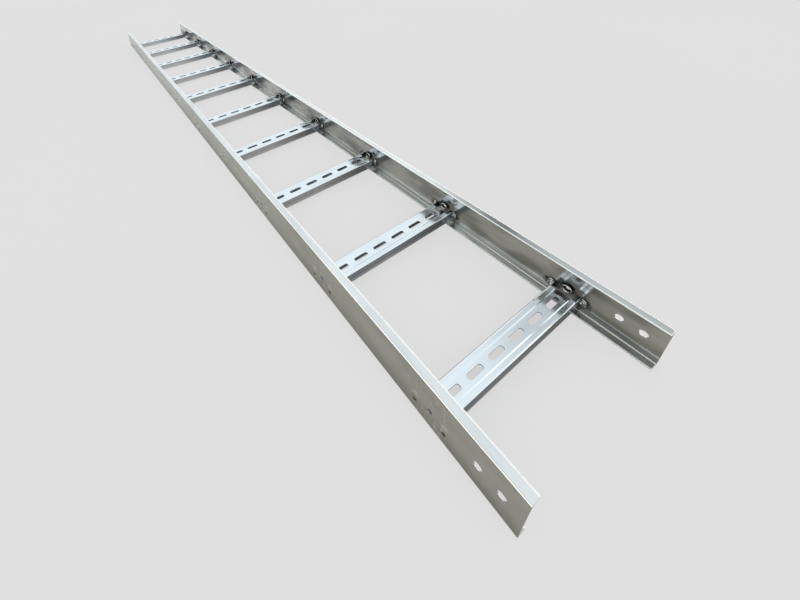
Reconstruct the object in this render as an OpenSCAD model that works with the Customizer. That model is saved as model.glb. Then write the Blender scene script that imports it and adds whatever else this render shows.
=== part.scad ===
// Cable ladder section: two C-section side rails joined by slotted channel rungs.
// Origin: centre of the length and the width, on the plane the rails stand on.
// X runs along the ladder, Y across it, Z up.

/* [Ladder] */
// Width over the outer faces of the two rails
ladder_w = 440; // [320:10:640]
// Distance from one rung to the next
rung_pitch = 300; // [240:10:400]
// Distance from each end of the rails to the first rung
end_gap = 150; // [120:5:200]

/* [Side rails] */
// Height of a side rail
rail_h = 105; // [90:5:150]
// Width of the rail's flanges, both turned to the inside
flange_w = 20; // [14:1:30]
// Sheet thickness of a rail
rail_t = 2; // [1.5:0.5:3]
// Outside radius of the rail's bends
rail_bend_r = 4; // [3.5:0.5:6]

/* [Splice holes] */
// Diameter of the splice holes at each end of a rail
splice_d = 14; // [9:1:18]
// Distance from the end of the rail to the first splice hole
splice_edge = 30; // [20:1:40]
// Distance between the two splice holes
splice_gap = 36; // [25:1:50]

/* [Rungs] */
// Width of a rung over its side walls
rung_w = 50; // [44:1:60]
// Height of a rung
rung_h = 32; // [26:1:34]
// Height of the rungs' top above the foot of the rails
rung_top = 38; // [36:1:60]
// Sheet thickness of a rung
rung_t = 2; // [1.5:0.5:2.5]
// Outside radius of the rung's bends
rung_bend_r = 3.5; // [3:0.5:4]
// Width of the sunk middle strip that holds the slots
panel_w = 26; // [20:1:28]
// Depth to which the middle strip is sunk
panel_drop = 1.2; // [0.5:0.1:1.5]
// Width of the lips turned in along the open underside
lip_w = 8; // [5:1:12]

/* [Rung slots] */
// Length of a slot
slot_len = 42; // [25:1:48]
// Width of a slot
slot_w = 11; // [7:1:14]
// Distance between the slots' centres
slot_pitch = 64; // [55:1:80]

/* [Rung ends] */
// Clear length between the web and the end of the rung's top
top_gap = 20; // [16:1:24]
// Clear length between the web and the rounded end of the middle strip
notch_len = 30; // [27:1:40]
// Reach of each ear beyond the rung's side wall
ear_reach = 10; // [9:1:16]
// Height of the ears
ear_h = 18; // [14:1:20]
// Diameter of the pressed hole in the web above each rung
press_d = 8; // [6:1:12]

/* [Hidden] */
$fn = 48;
cut = 1;
rung_count = 10;
ladder_len = (rung_count - 1) * rung_pitch + 2 * end_gap;
web_in = ladder_w / 2 - rail_t;
rail_inner_r = rail_bend_r - rail_t;
rung_inner_r = rung_bend_r - rung_t;
// Half length of the rung's full section
body_half = web_in - top_gap;
// Middle strip: its tip, the centre of its rounded end, and the slots that fit between the tips
panel_tip = web_in - notch_len;
panel_end_y = panel_tip - panel_w / 2;
strip_overlap = 0.25;
slot_rim = 6;
slot_run = 2 * (panel_tip - slot_rim) - slot_len;
slot_count = floor(slot_run / slot_pitch) + 1;
// Ears
ear_inner_r = 2;
ear_bend_r = ear_inner_r + rung_t;
ear_corner_r = 6;
ear_foot = rung_h - ear_h;
// Height of the pressed holes
press_z = rung_top + press_d / 2;

function rung_x(i) = (i - (rung_count + 1) / 2) * rung_pitch;

// Quarter ring in the first quadrant, centred on the origin
module quarter_ring(r_out, r_in) {
    intersection() {
        difference() {
            circle(r = r_out);
            circle(r = r_in);
        }
        square(r_out + cut);
    }
}

module obround(length, width) {
    straight = length - width;
    square([straight, width], center = true);
    for (side = [-1, 1])
        translate([side * straight / 2, 0])
            circle(d = width);
}

// One bend and half of the C section: web at x = 0, flange at y = rail_h / 2
module rail_half_section() {
    square([rail_t, rail_h / 2 - rail_bend_r]);
    translate([rail_bend_r, rail_h / 2 - rail_t])
        square([flange_w - rail_bend_r, rail_t]);
    translate([rail_bend_r, rail_h / 2 - rail_bend_r])
        mirror([1, 0])
            quarter_ring(rail_bend_r, rail_inner_r);
}

// Left rail: web on -Y, flanges pointing to +Y
module rail() {
    difference() {
        translate([-ladder_len / 2, -ladder_w / 2, rail_h / 2])
            rotate([90, 0, 90])
                linear_extrude(height = ladder_len) {
                    rail_half_section();
                    mirror([0, 1])
                        rail_half_section();
                }
        for (end = [-1, 1], k = [0, 1])
            translate([end * (ladder_len / 2 - splice_edge - k * splice_gap), 0, rail_h / 2])
                rotate([90, 0, 0])
                    cylinder(d = splice_d, h = ladder_w);
        for (i = [1:rung_count])
            translate([rung_x(i), 0, press_z])
                rotate([90, 0, 0])
                    cylinder(d = press_d, h = ladder_w);
    }
}

// Half of the rung's section, x across the rung, y up from its underside
module rung_half_section() {
    side = rung_w / 2;
    translate([0, rung_h - panel_drop - rung_t])
        square([panel_w / 2, rung_t]);
    polygon([
        [panel_w / 2 - strip_overlap, rung_h - panel_drop - rung_t],
        [panel_w / 2 + rung_t, rung_h - rung_t],
        [panel_w / 2 + rung_t, rung_h],
        [panel_w / 2 - strip_overlap, rung_h - panel_drop]
    ]);
    translate([panel_w / 2 + rung_t, rung_h - rung_t])
        square([side - rung_bend_r - panel_w / 2 - rung_t, rung_t]);
    translate([side - rung_bend_r, rung_h - rung_bend_r])
        quarter_ring(rung_bend_r, rung_inner_r);
    translate([side - rung_t, rung_bend_r])
        square([rung_t, rung_h - 2 * rung_bend_r]);
    translate([side - rung_bend_r, rung_bend_r])
        mirror([0, 1])
            quarter_ring(rung_bend_r, rung_inner_r);
    translate([side - lip_w, 0])
        square([lip_w - rung_bend_r, rung_t]);
}

module rung_section() {
    rung_half_section();
    mirror([1, 0])
        rung_half_section();
}

// Side wall carried on to the web and turned outwards, at +X and +Y
module ear() {
    wall_in = rung_w / 2 - rung_t;
    bend_x = wall_in + ear_bend_r;
    translate([wall_in, body_half - cut, ear_foot])
        cube([rung_t, top_gap + cut - ear_bend_r, ear_h]);
    translate([bend_x, web_in - ear_bend_r, ear_foot])
        mirror([1, 0, 0])
            linear_extrude(height = ear_h)
                quarter_ring(ear_bend_r, ear_inner_r);
    translate([bend_x, web_in, ear_foot])
        rotate([90, 0, 0])
            linear_extrude(height = rung_t)
                ear_outline(ear_reach + rung_t - ear_bend_r);
}

// Plate from x = 0 with its two far corners rounded
module ear_outline(length) {
    square([length - ear_corner_r, ear_h]);
    translate([0, ear_corner_r])
        square([length, ear_h - 2 * ear_corner_r]);
    for (y = [ear_corner_r, ear_h - ear_corner_r])
        translate([length - ear_corner_r, y])
            circle(r = ear_corner_r);
}

// Opening between the rounded end of the middle strip and the web
module end_notch() {
    difference() {
        translate([-panel_w / 2, panel_end_y])
            square([panel_w, notch_len + panel_w]);
        translate([0, panel_end_y])
            circle(d = panel_w);
    }
}

module rung(i) {
    color("lightsteelblue")
        translate([rung_x(i), 0, rung_top - rung_h]) {
            difference() {
                translate([0, body_half, 0])
                    rotate([90, 0, 0])
                        linear_extrude(height = 2 * body_half)
                            rung_section();
                translate([0, 0, rung_h - rung_t - panel_drop - cut]) {
                    linear_extrude(height = rung_t + panel_drop + 2 * cut) {
                        for (k = [0:slot_count - 1])
                            translate([0, (k - (slot_count - 1) / 2) * slot_pitch])
                                rotate(90)
                                    obround(slot_len, slot_w);
                        end_notch();
                        mirror([0, 1])
                            end_notch();
                    }
                }
            }
            for (mx = [0, 1], my = [0, 1])
                mirror([mx, 0, 0])
                    mirror([0, my, 0])
                        ear();
        }
}

module rail_left() {
    color("dimgray")
        rail();
}

module rail_right() {
    color("dimgray")
        mirror([0, 1, 0])
            rail();
}

rail_left();
rail_right();
rung(1);  // rung_01
rung(2);  // rung_02
rung(3);  // rung_03
rung(4);  // rung_04
rung(5);  // rung_05
rung(6);  // rung_06
rung(7);  // rung_07
rung(8);  // rung_08
rung(9);  // rung_09
rung(10);  // rung_10
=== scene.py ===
"""Cable ladder section: two side rails and ten slotted rungs of zinc-coated steel, laid on a pale floor."""
import math

import bmesh
import bpy
from mathutils import Matrix, Vector


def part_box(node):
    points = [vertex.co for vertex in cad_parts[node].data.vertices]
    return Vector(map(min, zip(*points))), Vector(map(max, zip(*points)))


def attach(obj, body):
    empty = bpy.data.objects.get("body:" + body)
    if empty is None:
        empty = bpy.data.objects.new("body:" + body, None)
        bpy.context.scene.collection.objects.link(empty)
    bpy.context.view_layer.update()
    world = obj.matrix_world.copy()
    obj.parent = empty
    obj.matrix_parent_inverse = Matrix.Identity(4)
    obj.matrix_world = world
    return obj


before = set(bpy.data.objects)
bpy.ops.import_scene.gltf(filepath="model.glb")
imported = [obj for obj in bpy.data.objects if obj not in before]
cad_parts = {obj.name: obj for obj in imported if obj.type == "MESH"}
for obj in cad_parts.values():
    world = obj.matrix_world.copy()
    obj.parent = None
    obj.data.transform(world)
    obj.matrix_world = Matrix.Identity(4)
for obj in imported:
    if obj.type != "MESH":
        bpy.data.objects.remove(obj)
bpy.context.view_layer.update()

# ---------------------------------------------------------------- side rails
# Each rail is one strip of zinc-coated steel sheet, 2 mm thick, rolled to a C with both flanges turned
# in and cut to length. Two round holes for the splice plate are punched at each end.
rails = ["rail_left", "rail_right"]
rungs = sorted(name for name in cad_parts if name.startswith("rung_"))
MM = 0.001
sheet = 2 * MM


def linear(hex_code):
    """An sRGB colour such as "#8d8a82" as the linear RGBA that the shaders take."""
    parts = [int(hex_code[k:k + 2], 16) / 255 for k in (1, 3, 5)]
    return (*[c / 12.92 if c <= 0.04045 else ((c + 0.055) / 1.055) ** 2.4 for c in parts], 1.0)


def add(tree, kind, links=None, **settings):
    """Adds one node; links gives its inputs their values or the outputs that feed them."""
    made = tree.nodes.new(kind)
    for name, value in settings.items():
        setattr(made, name, value)
    for key, value in (links or {}).items():
        if isinstance(value, bpy.types.NodeSocket):
            tree.links.new(value, made.inputs[key])
        else:
            made.inputs[key].default_value = value
    return made.outputs


def finish(name):
    """A new material with an empty node tree."""
    made = bpy.data.materials.new(name)
    made.use_nodes = True
    made.node_tree.nodes.clear()
    return made


def middle(name):
    """The centre of a piece's box."""
    low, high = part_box(name)
    return (low + high) / 2


rung_x = sorted(middle(name).x for name in rungs)
pitch = rung_x[1] - rung_x[0]
web_low, web_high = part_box("rail_right")
flange_edge = abs(web_low.y)
rail_top = web_high.z
rung_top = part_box("rung_01")[1].z
# The web's inner face, and where the joints sit on it: the ears beside each rung, a pierced hole above it
web_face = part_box("rung_01")[1].y
ear_x = 0.029
ear_z = rung_top - 0.009
hole_z = rung_top + 0.004

# Zinc-coated sheet, skin-passed smooth at the mill: a clean, sharp mirror, a little darker low down on the
# outside, which is painted shade. Inside, cloudy films of rolling oil dull it; painted shade darkens the
# foot, and painted light brightens the far half and the lower web. Press grease and painted shade leave black
# smudges round the joints; outside are pale upright scuffs and a painted highlight above each ear. The
# flanges' slit edges are bare, with a painted highlight.
rail_zinc = finish("zinc_coated_rail_sheet")
t = rail_zinc.node_tree
at = add(t, "ShaderNodeTexCoord")["Object"]
xyz = add(t, "ShaderNodeSeparateXYZ", {"Vector": at})
side = add(t, "ShaderNodeMath", {0: xyz["Y"]}, operation="ABSOLUTE")[0]
# Inside is all that the C encloses, outside is the web's outer face. The rail's upper face is neither
inside = add(t, "ShaderNodeMath", {0: side, 1: web_face + 0.25 * sheet}, operation="LESS_THAN")[0]
under = add(t, "ShaderNodeMath", {0: xyz["Z"], 1: rail_top - 0.5 * sheet}, operation="LESS_THAN")[0]
inside = add(t, "ShaderNodeMath", {0: inside, 1: under}, operation="MULTIPLY")[0]
outside = add(t, "ShaderNodeMath", {0: side, 1: web_face + 0.75 * sheet}, operation="GREATER_THAN")[0]
# Clouds of the coating, about 140 mm long and 50 mm high
cloud_at = add(t, "ShaderNodeMapping", {"Vector": at, "Scale": (1 / 0.14, 1 / 0.05, 1 / 0.05)})[0]
cloud = add(t, "ShaderNodeTexNoise",
            {"Vector": cloud_at, "Scale": 1.0, "Detail": 4.0, "Roughness": 0.6})["Fac"]
# Films of oil inside the rail, about 120 mm long and 45 mm high, moved off the clouds' own pattern
off_clouds = (3, 7, 1)
film_at = add(t, "ShaderNodeMapping",
              {"Vector": at, "Location": off_clouds, "Scale": (1 / 0.12, 1 / 0.045, 1 / 0.045)})[0]
film = add(t, "ShaderNodeTexNoise", {"Vector": film_at, "Scale": 1.0, "Detail": 2.0})["Fac"]
film = add(t, "ShaderNodeMapRange", {"Value": film, "From Min": 0.4, "From Max": 0.66},
           interpolation_type="SMOOTHSTEP")[0]
film = add(t, "ShaderNodeMath", {0: film, 1: inside}, operation="MULTIPLY")[0]
# Painted shade along the foot: the lowest 6 mm inside, fading out at 14 mm
painted_foot_shade = add(t, "ShaderNodeMapRange",
           {"Value": xyz["Z"], "From Min": 6 * MM, "From Max": 14 * MM, "To Min": 1.0, "To Max": 0.0})[0]
painted_foot_shade = add(t, "ShaderNodeMath", {0: painted_foot_shade, 1: inside}, operation="MULTIPLY")[0]
# Rolling lines run along the strip: 0.5 mm apart on the sheet, drawn 2 mm apart so that they show
line_at = add(t, "ShaderNodeMapping", {"Vector": at, "Scale": (1 / 0.2, 1 / 0.002, 1 / 0.002)})[0]
line = add(t, "ShaderNodeTexNoise", {"Vector": line_at, "Scale": 1.0, "Detail": 2.0})["Fac"]
# How far a spot lies from the nearest rung's middle along the rail, and from the nearest ear or hole
beside = add(t, "ShaderNodeMath", {0: xyz["X"], 1: rung_x[0] + pitch / 2, 2: rung_x[0] - pitch / 2},
             operation="WRAP")[0]
beside = add(t, "ShaderNodeMath", {0: beside, 1: rung_x[0]}, operation="SUBTRACT")[0]
beside = add(t, "ShaderNodeMath", {0: beside}, operation="ABSOLUTE")[0]
spot = add(t, "ShaderNodeCombineXYZ", {"X": beside, "Y": xyz["Z"]})[0]
from_ear = add(t, "ShaderNodeVectorMath", {0: spot, 1: Vector((ear_x, ear_z, 0))},
               operation="DISTANCE")["Value"]
from_hole = add(t, "ShaderNodeVectorMath", {0: spot, 1: Vector((0, hole_z, 0))},
                operation="DISTANCE")["Value"]
nearest = add(t, "ShaderNodeMath", {0: from_ear, 1: from_hole}, operation="MINIMUM")[0]
# Grease and painted shade spread from there to about 20 mm inside, and to 6 mm outside, with an edge ragged
# by drips of 10 mm
dark_reach_outside = 0.0055
dark_reach_inside = 0.019
drip_size = 0.01
drip_at = add(t, "ShaderNodeMapping",
              {"Vector": at, "Scale": (1 / drip_size, 1 / drip_size, 1 / drip_size)})[0]
drip = add(t, "ShaderNodeTexNoise", {"Vector": drip_at, "Scale": 1.0, "Detail": 3.0})["Fac"]
reach = add(t, "ShaderNodeMapRange", {"Value": inside, "To Min": dark_reach_outside, "To Max": dark_reach_inside})[0]
share = add(t, "ShaderNodeMath", {0: nearest, 1: reach}, operation="DIVIDE")[0]
share = add(t, "ShaderNodeMath", {0: drip, 1: 1.0, 2: share}, operation="MULTIPLY_ADD")[0]
grease_and_shade = add(t, "ShaderNodeMapRange",
             {"Value": share, "From Min": 0.9, "From Max": 1.55, "To Min": 1.0, "To Max": 0.0},
             interpolation_type="SMOOTHSTEP")[0]
# Outside, a painted highlight 17 mm above each ear, fading out over 3 to 11 mm
dent_highlight_z = ear_z + 0.017
from_dent_highlight = add(t, "ShaderNodeVectorMath", {0: spot, 1: Vector((ear_x, dent_highlight_z, 0))},
                operation="DISTANCE")["Value"]
painted_dent_highlight = add(t, "ShaderNodeMapRange",
            {"Value": from_dent_highlight, "From Min": 3 * MM, "From Max": 11 * MM, "To Min": 0.7, "To Max": 0.0},
            interpolation_type="SMOOTHSTEP")[0]
# Upright scuffs, 3 mm wide and 30 mm high, up to 60 mm from each rung's middle
scuff_at = add(t, "ShaderNodeMapping", {"Vector": at, "Scale": (1 / 0.003, 1 / 0.03, 1 / 0.03)})[0]
scuff = add(t, "ShaderNodeTexNoise", {"Vector": scuff_at, "Scale": 1.0, "Detail": 1.0})["Fac"]
scuff = add(t, "ShaderNodeMapRange", {"Value": scuff, "From Min": 0.62, "From Max": 0.7})[0]
close = add(t, "ShaderNodeMapRange",
            {"Value": beside, "From Min": 30 * MM, "From Max": 60 * MM, "To Min": 0.7, "To Max": 0.0})[0]
scuff = add(t, "ShaderNodeMath", {0: scuff, 1: close}, operation="MULTIPLY")[0]
# The scuffs and the painted highlight are on the outer face only, and end 10 to 20 mm below the rail's top
scuffs_and_highlight = add(t, "ShaderNodeMath", {0: scuff, 1: painted_dent_highlight}, operation="MAXIMUM")[0]
low_down = add(t, "ShaderNodeMapRange",
               {"Value": xyz["Z"], "From Min": rail_top - 0.02, "From Max": rail_top - 0.01,
                "To Min": 1.0, "To Max": 0.0})[0]
scuffs_and_highlight = add(t, "ShaderNodeMath", {0: scuffs_and_highlight, 1: low_down}, operation="MULTIPLY")[0]
scuffs_and_highlight = add(t, "ShaderNodeMath", {0: scuffs_and_highlight, 1: outside}, operation="MULTIPLY")[0]
# Slit edges of the flanges, bare and with a painted highlight: the last 2.5 mm towards the middle of the
# ladder
bare_edge_highlight = add(t, "ShaderNodeMapRange",
           {"Value": side, "From Min": flange_edge + 0.002, "From Max": flange_edge + 0.003,
            "To Min": 1.0, "To Max": 0.0})[0]
tone = add(t, "ShaderNodeMapRange", {"Value": cloud, "From Min": 0.35, "From Max": 0.65})[0]
zinc = add(t, "ShaderNodeMixRGB", {"Fac": tone, "Color1": linear("#d7dada"), "Color2": linear("#e5e8e8")})[0]
# Inside, painted light brightens the sheet over its far half, and a little all along below 35 mm
painted_inner_light = add(t, "ShaderNodeMapRange", {"Value": xyz["X"], "From Min": 0.6, "From Max": -0.2, "To Max": 0.8})[0]
low_web = add(t, "ShaderNodeMapRange",
              {"Value": xyz["Z"], "From Min": 35 * MM, "From Max": 22 * MM, "To Max": 0.25})[0]
painted_inner_light = add(t, "ShaderNodeMath", {0: painted_inner_light, 1: low_web}, operation="MAXIMUM")[0]
painted_inner_light = add(t, "ShaderNodeMath", {0: painted_inner_light, 1: inside}, operation="MULTIPLY")[0]
zinc = add(t, "ShaderNodeMixRGB", {"Fac": painted_inner_light, "Color1": zinc, "Color2": linear("#f4f6f6")})[0]
zinc = add(t, "ShaderNodeMixRGB", {"Fac": film, "Color1": zinc, "Color2": linear("#adb1b1")})[0]
# Outside, painted shade darkens the lowest 45 mm of the web, more towards the floor
painted_low_shade = add(t, "ShaderNodeMapRange",
           {"Value": xyz["Z"], "From Min": 5 * MM, "From Max": 45 * MM, "To Min": 0.5, "To Max": 0.0})[0]
painted_low_shade = add(t, "ShaderNodeMath", {0: painted_low_shade, 1: outside}, operation="MULTIPLY")[0]
zinc = add(t, "ShaderNodeMixRGB", {"Fac": painted_low_shade, "Color1": zinc, "Color2": linear("#a9aba8")})[0]
# Painted shade along the inner foot
zinc = add(t, "ShaderNodeMixRGB", {"Fac": painted_foot_shade, "Color1": zinc, "Color2": linear("#bfc0bb")})[0]
# Pale scuffs, and the painted highlight above each ear
zinc = add(t, "ShaderNodeMixRGB", {"Fac": scuffs_and_highlight, "Color1": zinc, "Color2": linear("#f6f7f5")})[0]
# Grease and painted shade round the joints
zinc = add(t, "ShaderNodeMixRGB", {"Fac": grease_and_shade, "Color1": zinc, "Color2": linear("#4a4a46")})[0]
# The bare slit edges, with their painted highlight
zinc = add(t, "ShaderNodeMixRGB", {"Fac": bare_edge_highlight, "Color1": zinc, "Color2": linear("#f6f7f6")})[0]
# The mirror is clearest on clean sheet; grease, slit edges and scuffs each blur it further
dull = add(t, "ShaderNodeMapRange",
           {"Value": cloud, "From Min": 0.3, "From Max": 0.7, "To Min": 0.12, "To Max": 0.22})[0]
dull = add(t, "ShaderNodeMath", {0: grease_and_shade, 1: 0.2, 2: dull}, operation="MULTIPLY_ADD")[0]
dull = add(t, "ShaderNodeMath", {0: bare_edge_highlight, 1: 0.2, 2: dull}, operation="MULTIPLY_ADD")[0]
dull = add(t, "ShaderNodeMath", {0: scuffs_and_highlight, 1: 0.25, 2: dull}, operation="MULTIPLY_ADD")[0]
soft_edge = add(t, "ShaderNodeBevel", {"Radius": sheet}, samples=4)[0]
skin = add(t, "ShaderNodeBump",
           {"Height": line, "Strength": 0.04, "Distance": 0.0002, "Normal": soft_edge})[0]
metal = add(t, "ShaderNodeBsdfPrincipled",
            {"Base Color": zinc, "Metallic": 1.0, "Roughness": dull, "Normal": skin})[0]
add(t, "ShaderNodeOutputMaterial", {"Surface": metal})
for name in rails:
    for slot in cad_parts[name].material_slots:
        slot.material = rail_zinc

# ------------------------------------------------------------- pressed joints
# Over each rung the web is pierced and drawn inwards to a short flared collar, and beside it the rung's
# two ears are clinched: a punch from inside leaves a ring on the ear and a button on the web's outside.


def lay_on(name, shape, finish_of):
    """Makes a smooth piece of a finished shape and lays it on the ladder."""
    bmesh.ops.recalc_face_normals(shape, faces=shape.faces)
    mesh = bpy.data.meshes.new(name)
    shape.to_mesh(mesh)
    shape.free()
    for face in mesh.polygons:
        face.use_smooth = True
    mesh.materials.append(finish_of)
    piece = bpy.data.objects.new(name, mesh)
    bpy.context.scene.collection.objects.link(piece)
    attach(piece, "root")


def turned(name, profile, centres, outward, finish_of):
    """Round pieces, all alike: profile is (radius, height) in mm, turned about each centre, along outward."""
    shape = bmesh.new()
    steps = 24
    for centre in centres:
        hoops = []
        for radius, height in profile:
            hoop = []
            for k in range(steps if radius > 0 else 1):
                a = 2 * math.pi * k / steps
                spoke = Vector((radius * math.cos(a), outward * height, radius * math.sin(a)))
                hoop.append(shape.verts.new(centre + MM * spoke))
            hoops.append(hoop)
        for low, high in zip(hoops, hoops[1:]):
            for k in range(steps):
                corners = [low[k % len(low)], low[(k + 1) % len(low)],
                           high[(k + 1) % len(high)], high[k % len(high)]]
                shape.faces.new(list(dict.fromkeys(corners)))
    lay_on(name, shape, finish_of)


def beads(name, paths, radius, finish_of):
    """Round beads, one along each path of points that lie in a plane along the ladder."""
    shape = bmesh.new()
    steps = 8
    turns = [2 * math.pi * j / steps for j in range(steps)]
    for path in paths:
        hoops = []
        for k, point in enumerate(path):
            run = path[min(k + 1, len(path) - 1)] - path[max(k - 1, 0)]
            out = run.cross(Vector((0, 1, 0))).normalized()
            spokes = [out * math.cos(a) + Vector((0, math.sin(a), 0)) for a in turns]
            hoops.append([shape.verts.new(point + radius * spoke) for spoke in spokes])
        for low, high in zip(hoops, hoops[1:]):
            for k in range(steps):
                shape.faces.new([low[k], low[(k + 1) % steps], high[(k + 1) % steps], high[k]])
        shape.faces.new(hoops[0])
        shape.faces.new(hoops[-1])
    lay_on(name, shape, finish_of)


# Zinc and steel worked by the press: bright on the rim, where the punch dragged over it, and black down in
# the hollow, which is painted shade. It turns bright about 5 mm above the web.
pressed = finish("press_worked_zinc")
t = pressed.node_tree
at = add(t, "ShaderNodeTexCoord")["Object"]
xyz = add(t, "ShaderNodeSeparateXYZ", {"Vector": at})
side = add(t, "ShaderNodeMath", {0: xyz["Y"]}, operation="ABSOLUTE")[0]
stand = add(t, "ShaderNodeMath", {0: web_face, 1: side}, operation="SUBTRACT")[0]
# Drag marks 1 mm apart, which also fray the bright rim by up to 2 mm
mark_at = add(t, "ShaderNodeMapping", {"Vector": at, "Scale": (1 / 0.001, 1 / 0.004, 1 / 0.001)})[0]
mark = add(t, "ShaderNodeTexNoise", {"Vector": mark_at, "Scale": 1.0, "Detail": 2.0})["Fac"]
worn_rim_and_hollow_shade = add(t, "ShaderNodeMath", {0: mark, 1: 2 * MM, 2: stand}, operation="MULTIPLY_ADD")[0]
worn_rim_and_hollow_shade = add(t, "ShaderNodeMapRange", {"Value": worn_rim_and_hollow_shade, "From Min": 6.2 * MM, "From Max": 7.6 * MM})[0]
# Painted shade in the hollow, and bright worn zinc on the rim
steel = add(t, "ShaderNodeMixRGB", {"Fac": worn_rim_and_hollow_shade, "Color1": linear("#3c3d3b"), "Color2": linear("#dfe0dd")})[0]
dull = add(t, "ShaderNodeMapRange", {"Value": worn_rim_and_hollow_shade, "To Min": 0.4, "To Max": 0.22})[0]
skin = add(t, "ShaderNodeBump", {"Height": mark, "Strength": 0.2, "Distance": 0.0002})[0]
metal = add(t, "ShaderNodeBsdfPrincipled",
            {"Base Color": steel, "Metallic": 1.0, "Roughness": dull, "Normal": skin})[0]
add(t, "ShaderNodeOutputMaterial", {"Surface": metal})

# The burrs and the punched rings are bare steel, cut bright, with specks of grease about 3 mm across
bright = finish("cut_bright_steel")
t = bright.node_tree
at = add(t, "ShaderNodeTexCoord")["Object"]
speck = add(t, "ShaderNodeTexNoise", {"Vector": at, "Scale": 1 / 0.003, "Detail": 2.0})["Fac"]
speck = add(t, "ShaderNodeMapRange", {"Value": speck, "From Min": 0.35, "From Max": 0.55})[0]
steel = add(t, "ShaderNodeMixRGB",
            {"Fac": speck, "Color1": linear("#7e8080"), "Color2": linear("#eceded")})[0]
dull = add(t, "ShaderNodeMapRange", {"Value": speck, "To Min": 0.4, "To Max": 0.25})[0]
metal = add(t, "ShaderNodeBsdfPrincipled", {"Base Color": steel, "Metallic": 1.0, "Roughness": dull})[0]
add(t, "ShaderNodeOutputMaterial", {"Surface": metal})

# Half sections of the turned pieces as (radius, height) in mm, from the sheet outwards
collar = [(7.4, 0), (7.0, 2.2), (7.6, 3.8), (9.0, 4.8), (9.8, 5.4), (10.0, 6.2), (9.4, 6.8), (8.2, 6.6),
          (6.6, 5.4), (5.2, 3.4), (4.3, 1.6), (4.0, 0)]
ring = [(5.6, 0), (5.2, 0.9), (4.4, 1.5), (3.5, 1.4), (2.7, 0.7), (1.6, 0.25), (0, 0.15)]
button = [(6.5, 0), (5.6, 0.35), (4.2, 0.9), (2.4, 1.25), (0, 1.35)]
# The shears roll a burr round each ear: along its top, round its corners of 6 mm and down its outer edge.
# It starts 26 mm from the rung's middle, at the side wall, and ends at the ear's foot.
ear_start = 0.026
ear_tip = 0.035
ear_foot = rung_top - 0.018
corner = 0.006
burr_radius = 1.1 * MM
burr_stand = 1.6 * MM
rim = [(ear_start, rung_top)]
for centre_z, start in ((rung_top - corner, 90), (ear_foot + corner, 0)):
    for k in range(7):
        a = math.radians(start - 15 * k)
        rim.append((ear_tip - corner + corner * math.cos(a), centre_z + corner * math.sin(a)))
for name, across in (("left", -1), ("right", 1)):
    outer = across * max(abs(web_low.y), abs(web_high.y))
    inner = outer - across * sheet
    ear_face = inner - across * sheet
    burr_y = inner - across * burr_stand
    ears = [(x + s * ear_x, ear_z) for x in rung_x for s in (-1, 1)]
    burrs = [[Vector((x + s * px, burr_y, pz)) for px, pz in rim] for x in rung_x for s in (-1, 1)]
    turned(f"web_collars_{name}", collar, [Vector((x, inner, hole_z)) for x in rung_x],
           -across, pressed)
    turned(f"clinch_rings_{name}", ring, [Vector((x, ear_face, z)) for x, z in ears],
           -across, bright)
    turned(f"clinch_buttons_{name}", button, [Vector((x, outer, z)) for x, z in ears],
           across, rail_zinc)
    beads(f"ear_burrs_{name}", burrs, burr_radius, bright)

# --------------------------------------------------------------------- rungs
# Each rung is a channel folded from brighter zinc-coated strip, open side down, with a sunk middle strip
# of long slots for cable clamps. Its side walls run on to the webs and turn outwards as ears.

# Bright zinc on narrow strip: cooler and paler than the rails and finely streaked along the rung. The
# folded sides are painted shade, slate-coloured on the nearest rungs and dark towards the right rail, with a
# painted highlight in a band low down. Press grease and painted shade darken about the last 14 mm at each
# end.
rung_zinc = finish("bright_zinc_rung_strip")
t = rung_zinc.node_tree
coord = add(t, "ShaderNodeTexCoord")
at = coord["Object"]
xyz = add(t, "ShaderNodeSeparateXYZ", {"Vector": at})
# 1 on the level faces, 0 on the side walls
faces = add(t, "ShaderNodeSeparateXYZ", {"Vector": coord["Normal"]})
level = add(t, "ShaderNodeMath", {0: faces["Z"]}, operation="ABSOLUTE")[0]
level = add(t, "ShaderNodeMapRange", {"Value": level, "From Min": 0.2, "From Max": 0.6})[0]
# Patches about 90 mm long and 16 mm wide
cloud_at = add(t, "ShaderNodeMapping", {"Vector": at, "Scale": (1 / 0.016, 1 / 0.09, 1 / 0.016)})[0]
cloud = add(t, "ShaderNodeTexNoise",
            {"Vector": cloud_at, "Scale": 1.0, "Detail": 3.0, "Roughness": 0.5})["Fac"]
# Streaks 0.3 mm apart on the strip, drawn 1.5 mm apart so that they show
line_at = add(t, "ShaderNodeMapping", {"Vector": at, "Scale": (1 / 0.0015, 1 / 0.12, 1 / 0.0015)})[0]
line = add(t, "ShaderNodeTexNoise", {"Vector": line_at, "Scale": 1.0, "Detail": 2.0})["Fac"]
# Grease and painted shade before each web, its edge ragged by drips of 10 mm
side = add(t, "ShaderNodeMath", {0: xyz["Y"]}, operation="ABSOLUTE")[0]
drip = add(t, "ShaderNodeTexNoise", {"Vector": at, "Scale": 1 / drip_size, "Detail": 3.0})["Fac"]
ragged = add(t, "ShaderNodeMath", {0: drip, 1: 0.02, 2: side}, operation="MULTIPLY_ADD")[0]
grease_and_shade = add(t, "ShaderNodeMapRange",
             {"Value": ragged, "From Min": web_face - 0.004, "From Max": web_face + 0.008, "To Max": 0.8},
             interpolation_type="SMOOTHSTEP")[0]
tone = add(t, "ShaderNodeMapRange", {"Value": cloud, "From Min": 0.3, "From Max": 0.7})[0]
top = add(t, "ShaderNodeMixRGB", {"Fac": tone, "Color1": linear("#e0e7ec"), "Color2": linear("#eaf0f3")})[0]
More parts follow.
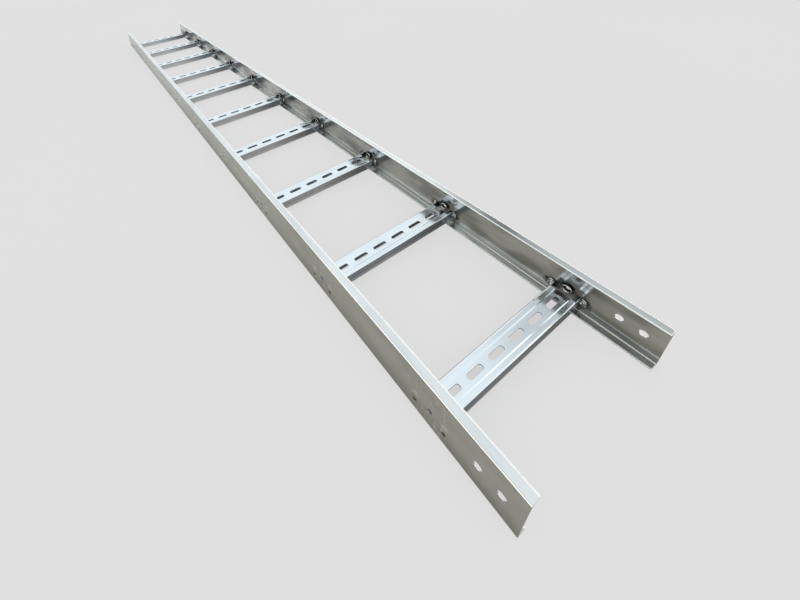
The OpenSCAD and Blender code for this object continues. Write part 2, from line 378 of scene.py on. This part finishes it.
# The side walls, in painted shade: slate-coloured on the nearest rung, and paler zinc from the third one on
farther_less_shade = add(t, "ShaderNodeMapRange", {"Value": xyz["X"], "From Min": rung_x[-1], "From Max": rung_x[-3]})[0]
painted_wall_colour = add(t, "ShaderNodeMixRGB",
            {"Fac": farther_less_shade, "Color1": linear("#93a6c0"), "Color2": linear("#cdd1d6")})[0]
# A painted highlight in a band low on the walls, 13 mm above the floor and fading out over 2 to 6 mm, broken
# by streaks
band_highlight_z = 0.013
painted_band_highlight = add(t, "ShaderNodeMath", {0: xyz["Z"], 1: band_highlight_z}, operation="SUBTRACT")[0]
painted_band_highlight = add(t, "ShaderNodeMath", {0: painted_band_highlight}, operation="ABSOLUTE")[0]
painted_band_highlight = add(t, "ShaderNodeMapRange",
            {"Value": painted_band_highlight, "From Min": 2 * MM, "From Max": 6 * MM, "To Min": 1.0, "To Max": 0.0})[0]
patchy = add(t, "ShaderNodeMapRange",
             {"Value": line, "From Min": 0.35, "From Max": 0.6, "To Min": 0.15, "To Max": 0.9})[0]
painted_band_highlight = add(t, "ShaderNodeMath", {0: painted_band_highlight, 1: patchy}, operation="MULTIPLY")[0]
painted_wall_colour = add(t, "ShaderNodeMixRGB", {"Fac": painted_band_highlight, "Color1": painted_wall_colour, "Color2": linear("#f2f5f7")})[0]
# Painted shade grows darker from just left of the middle to 150 mm right of it
right_wall_shade = add(t, "ShaderNodeMapRange",
            {"Value": xyz["Y"], "From Min": -0.03, "From Max": 0.15, "To Max": 0.65})[0]
painted_wall_colour = add(t, "ShaderNodeMixRGB", {"Fac": right_wall_shade, "Color1": painted_wall_colour, "Color2": linear("#3c454f")})[0]
# Level faces keep the zinc; the side walls take the painted shade
zinc = add(t, "ShaderNodeMixRGB", {"Fac": level, "Color1": painted_wall_colour, "Color2": top})[0]
# Grease and painted shade at each end of the rung
zinc = add(t, "ShaderNodeMixRGB", {"Fac": grease_and_shade, "Color1": zinc, "Color2": linear("#3e4143")})[0]
dull = add(t, "ShaderNodeMapRange",
           {"Value": cloud, "From Min": 0.3, "From Max": 0.7, "To Min": 0.12, "To Max": 0.2})[0]
soft_edge = add(t, "ShaderNodeBevel", {"Radius": 0.8 * MM}, samples=4)[0]
skin = add(t, "ShaderNodeBump",
           {"Height": line, "Strength": 0.06, "Distance": 0.0002, "Normal": soft_edge})[0]
metal = add(t, "ShaderNodeBsdfPrincipled",
            {"Base Color": zinc, "Metallic": 1.0, "Roughness": dull, "Normal": skin})[0]
add(t, "ShaderNodeOutputMaterial", {"Surface": metal})
for name in rungs:
    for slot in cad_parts[name].material_slots:
        slot.material = rung_zinc

# --------------------------------------------------------------------- floor
# A plain pale floor, half a millimetre below the ladder. To the eye it is nearly even. In the metal it shows
# darker, as ground does that lies in an object's own shade, and least so towards the far end.
floor_half = 30.0
floor_drop = 0.0005
floor_mesh = bpy.data.meshes.new("floor")
floor_mesh.from_pydata([(-floor_half, -floor_half, 0), (floor_half, -floor_half, 0),
                        (floor_half, floor_half, 0), (-floor_half, floor_half, 0)], [], [(0, 1, 2, 3)])
floor = bpy.data.objects.new("floor", floor_mesh)
bpy.context.scene.collection.objects.link(floor)
floor.location.z = -floor_drop
# Matt paint with a grain of 25 mm, which is barely there
paint = finish("pale_floor_paint")
t = paint.node_tree
grain = add(t, "ShaderNodeTexNoise", {"Scale": 1 / 0.025, "Detail": 2.0})["Fac"]
pale = add(t, "ShaderNodeMixRGB",
           {"Fac": grain, "Color1": linear("#e0e0e0"), "Color2": linear("#e2e2e2")})[0]
lit = add(t, "ShaderNodeBsdfDiffuse", {"Color": pale})[0]
even = add(t, "ShaderNodeEmission", {"Color": pale})[0]
seen_even = 0.8
seen = add(t, "ShaderNodeMixShader", {0: seen_even, 1: lit, 2: even})[0]
where = add(t, "ShaderNodeSeparateXYZ", {"Vector": add(t, "ShaderNodeTexCoord")["Object"]})
far = add(t, "ShaderNodeMapRange", {"Value": where["X"], "From Min": 1.3, "From Max": -0.7})[0]
ground = add(t, "ShaderNodeMixRGB",
             {"Fac": far, "Color1": linear("#a4a097"), "Color2": linear("#cbcbc8")})[0]
shaded = add(t, "ShaderNodeBsdfDiffuse", {"Color": ground})[0]
steady = add(t, "ShaderNodeEmission", {"Color": ground})[0]
mirrored_even = 0.2
mirrored = add(t, "ShaderNodeMixShader", {0: mirrored_even, 1: shaded, 2: steady})[0]
ray = add(t, "ShaderNodeLightPath")
both = add(t, "ShaderNodeMixShader", {0: ray["Is Glossy Ray"], 1: seen, 2: mirrored})[0]
add(t, "ShaderNodeOutputMaterial", {"Surface": both})
floor_mesh.materials.append(paint)

# --------------------------------------------------------------------- light
# Even soft light from the whole room. What the metal mirrors is cooler, with duller parts on both sides, as
# round doorways, and bright low down along both long walls, which draws a white line along each fold.
world = bpy.data.worlds.new("studio")
bpy.context.scene.world = world
world.use_nodes = True
t = world.node_tree
t.nodes.clear()
toward = add(t, "ShaderNodeTexCoord")["Generated"]


def aim(around, up):
    """The direction around degrees from +X and up degrees from the floor."""
    a, b = math.radians(around), math.radians(up)
    return Vector((math.cos(a) * math.cos(b), math.sin(a) * math.cos(b), math.sin(b)))


glow = 1.06
# Each duller part: where it lies (around, up), how far it is even and where it has faded out, all in degrees,
# and how much light it takes off
spots = [(98, 43, 6, 17, 0.4), (115.5, 40, 2.5, 6.5, 0.65), (-98, 46, 5, 14, 0.65), (-123, 41, 2, 6, 0.45),
         (-141, 35, 6, 16, 0.4)]
for around, up, inner, outer, drop in spots:
    near = add(t, "ShaderNodeVectorMath", {0: toward, 1: aim(around, up)}, operation="DOT_PRODUCT")["Value"]
    limits = {"From Min": math.cos(math.radians(outer)), "From Max": math.cos(math.radians(inner)),
              "To Max": -drop}
    dark = add(t, "ShaderNodeMapRange", {"Value": near, **limits}, interpolation_type="SMOOTHSTEP")[0]
    glow = add(t, "ShaderNodeMath", {0: glow, 1: dark}, operation="ADD")[0]
# The bright bands: towards the long walls, from the floor up, fading out between 20 and 30 degrees
wall_light = 1.4
lean = add(t, "ShaderNodeSeparateXYZ", {"Vector": toward})
sideways = add(t, "ShaderNodeMath", {0: lean["Y"]}, operation="ABSOLUTE")[0]
sideways = add(t, "ShaderNodeMapRange", {"Value": sideways, "From Min": 0.45, "From Max": 0.75})[0]
low = add(t, "ShaderNodeMapRange",
          {"Value": lean["Z"], "From Min": 0.35, "From Max": 0.5, "To Min": 1.0, "To Max": 0.0})[0]
low = add(t, "ShaderNodeMath", {0: sideways, 1: low}, operation="MULTIPLY")[0]
glow = add(t, "ShaderNodeMath", {0: low, 1: wall_light, 2: glow}, operation="MULTIPLY_ADD")[0]
hue = add(t, "ShaderNodeMixRGB", {"Fac": low, "Color1": linear("#f6fcff"), "Color2": linear("#fffcf2")})[0]
mirrored = add(t, "ShaderNodeBackground", {"Color": hue, "Strength": glow})[0]
plain = add(t, "ShaderNodeBackground", {"Color": (1.0, 1.0, 1.0, 1.0), "Strength": 1.0})[0]
ray = add(t, "ShaderNodeLightPath")
both = add(t, "ShaderNodeMixShader", {0: ray["Is Glossy Ray"], 1: plain, 2: mirrored})[0]
add(t, "ShaderNodeOutputWorld", {"Surface": both})

# -------------------------------------------------------------------- camera
# It stands beyond the near end, to the left, and looks down along the ladder through a wide lens that is
# shifted far down and to the right.
camera_data = bpy.data.cameras.new("camera")
camera = bpy.data.objects.new("camera", camera_data)
bpy.context.scene.collection.objects.link(camera)
stands_at = (1.54875, -0.57971, 0.85063)
look_right = Vector((0.45844525, 0.88269024, -0.10337259))
look_down = Vector((0.31965836, -0.27230711, -0.90756123))
look_ahead = Vector((-0.82924453, 0.38302322, -0.40699721))
turn = Matrix((look_right, -look_down, -look_ahead)).transposed()
camera.matrix_world = Matrix.Translation(stands_at) @ turn.to_4x4()
camera_data.sensor_width = 36.0
camera_data.lens = 16.392
camera_data.shift_x = 0.18661
camera_data.shift_y = -0.27323
camera_data.clip_start = 0.01
camera_data.clip_end = 100.0
bpy.context.scene.camera = camera
bpy.context.scene.view_settings.view_transform = "Standard"
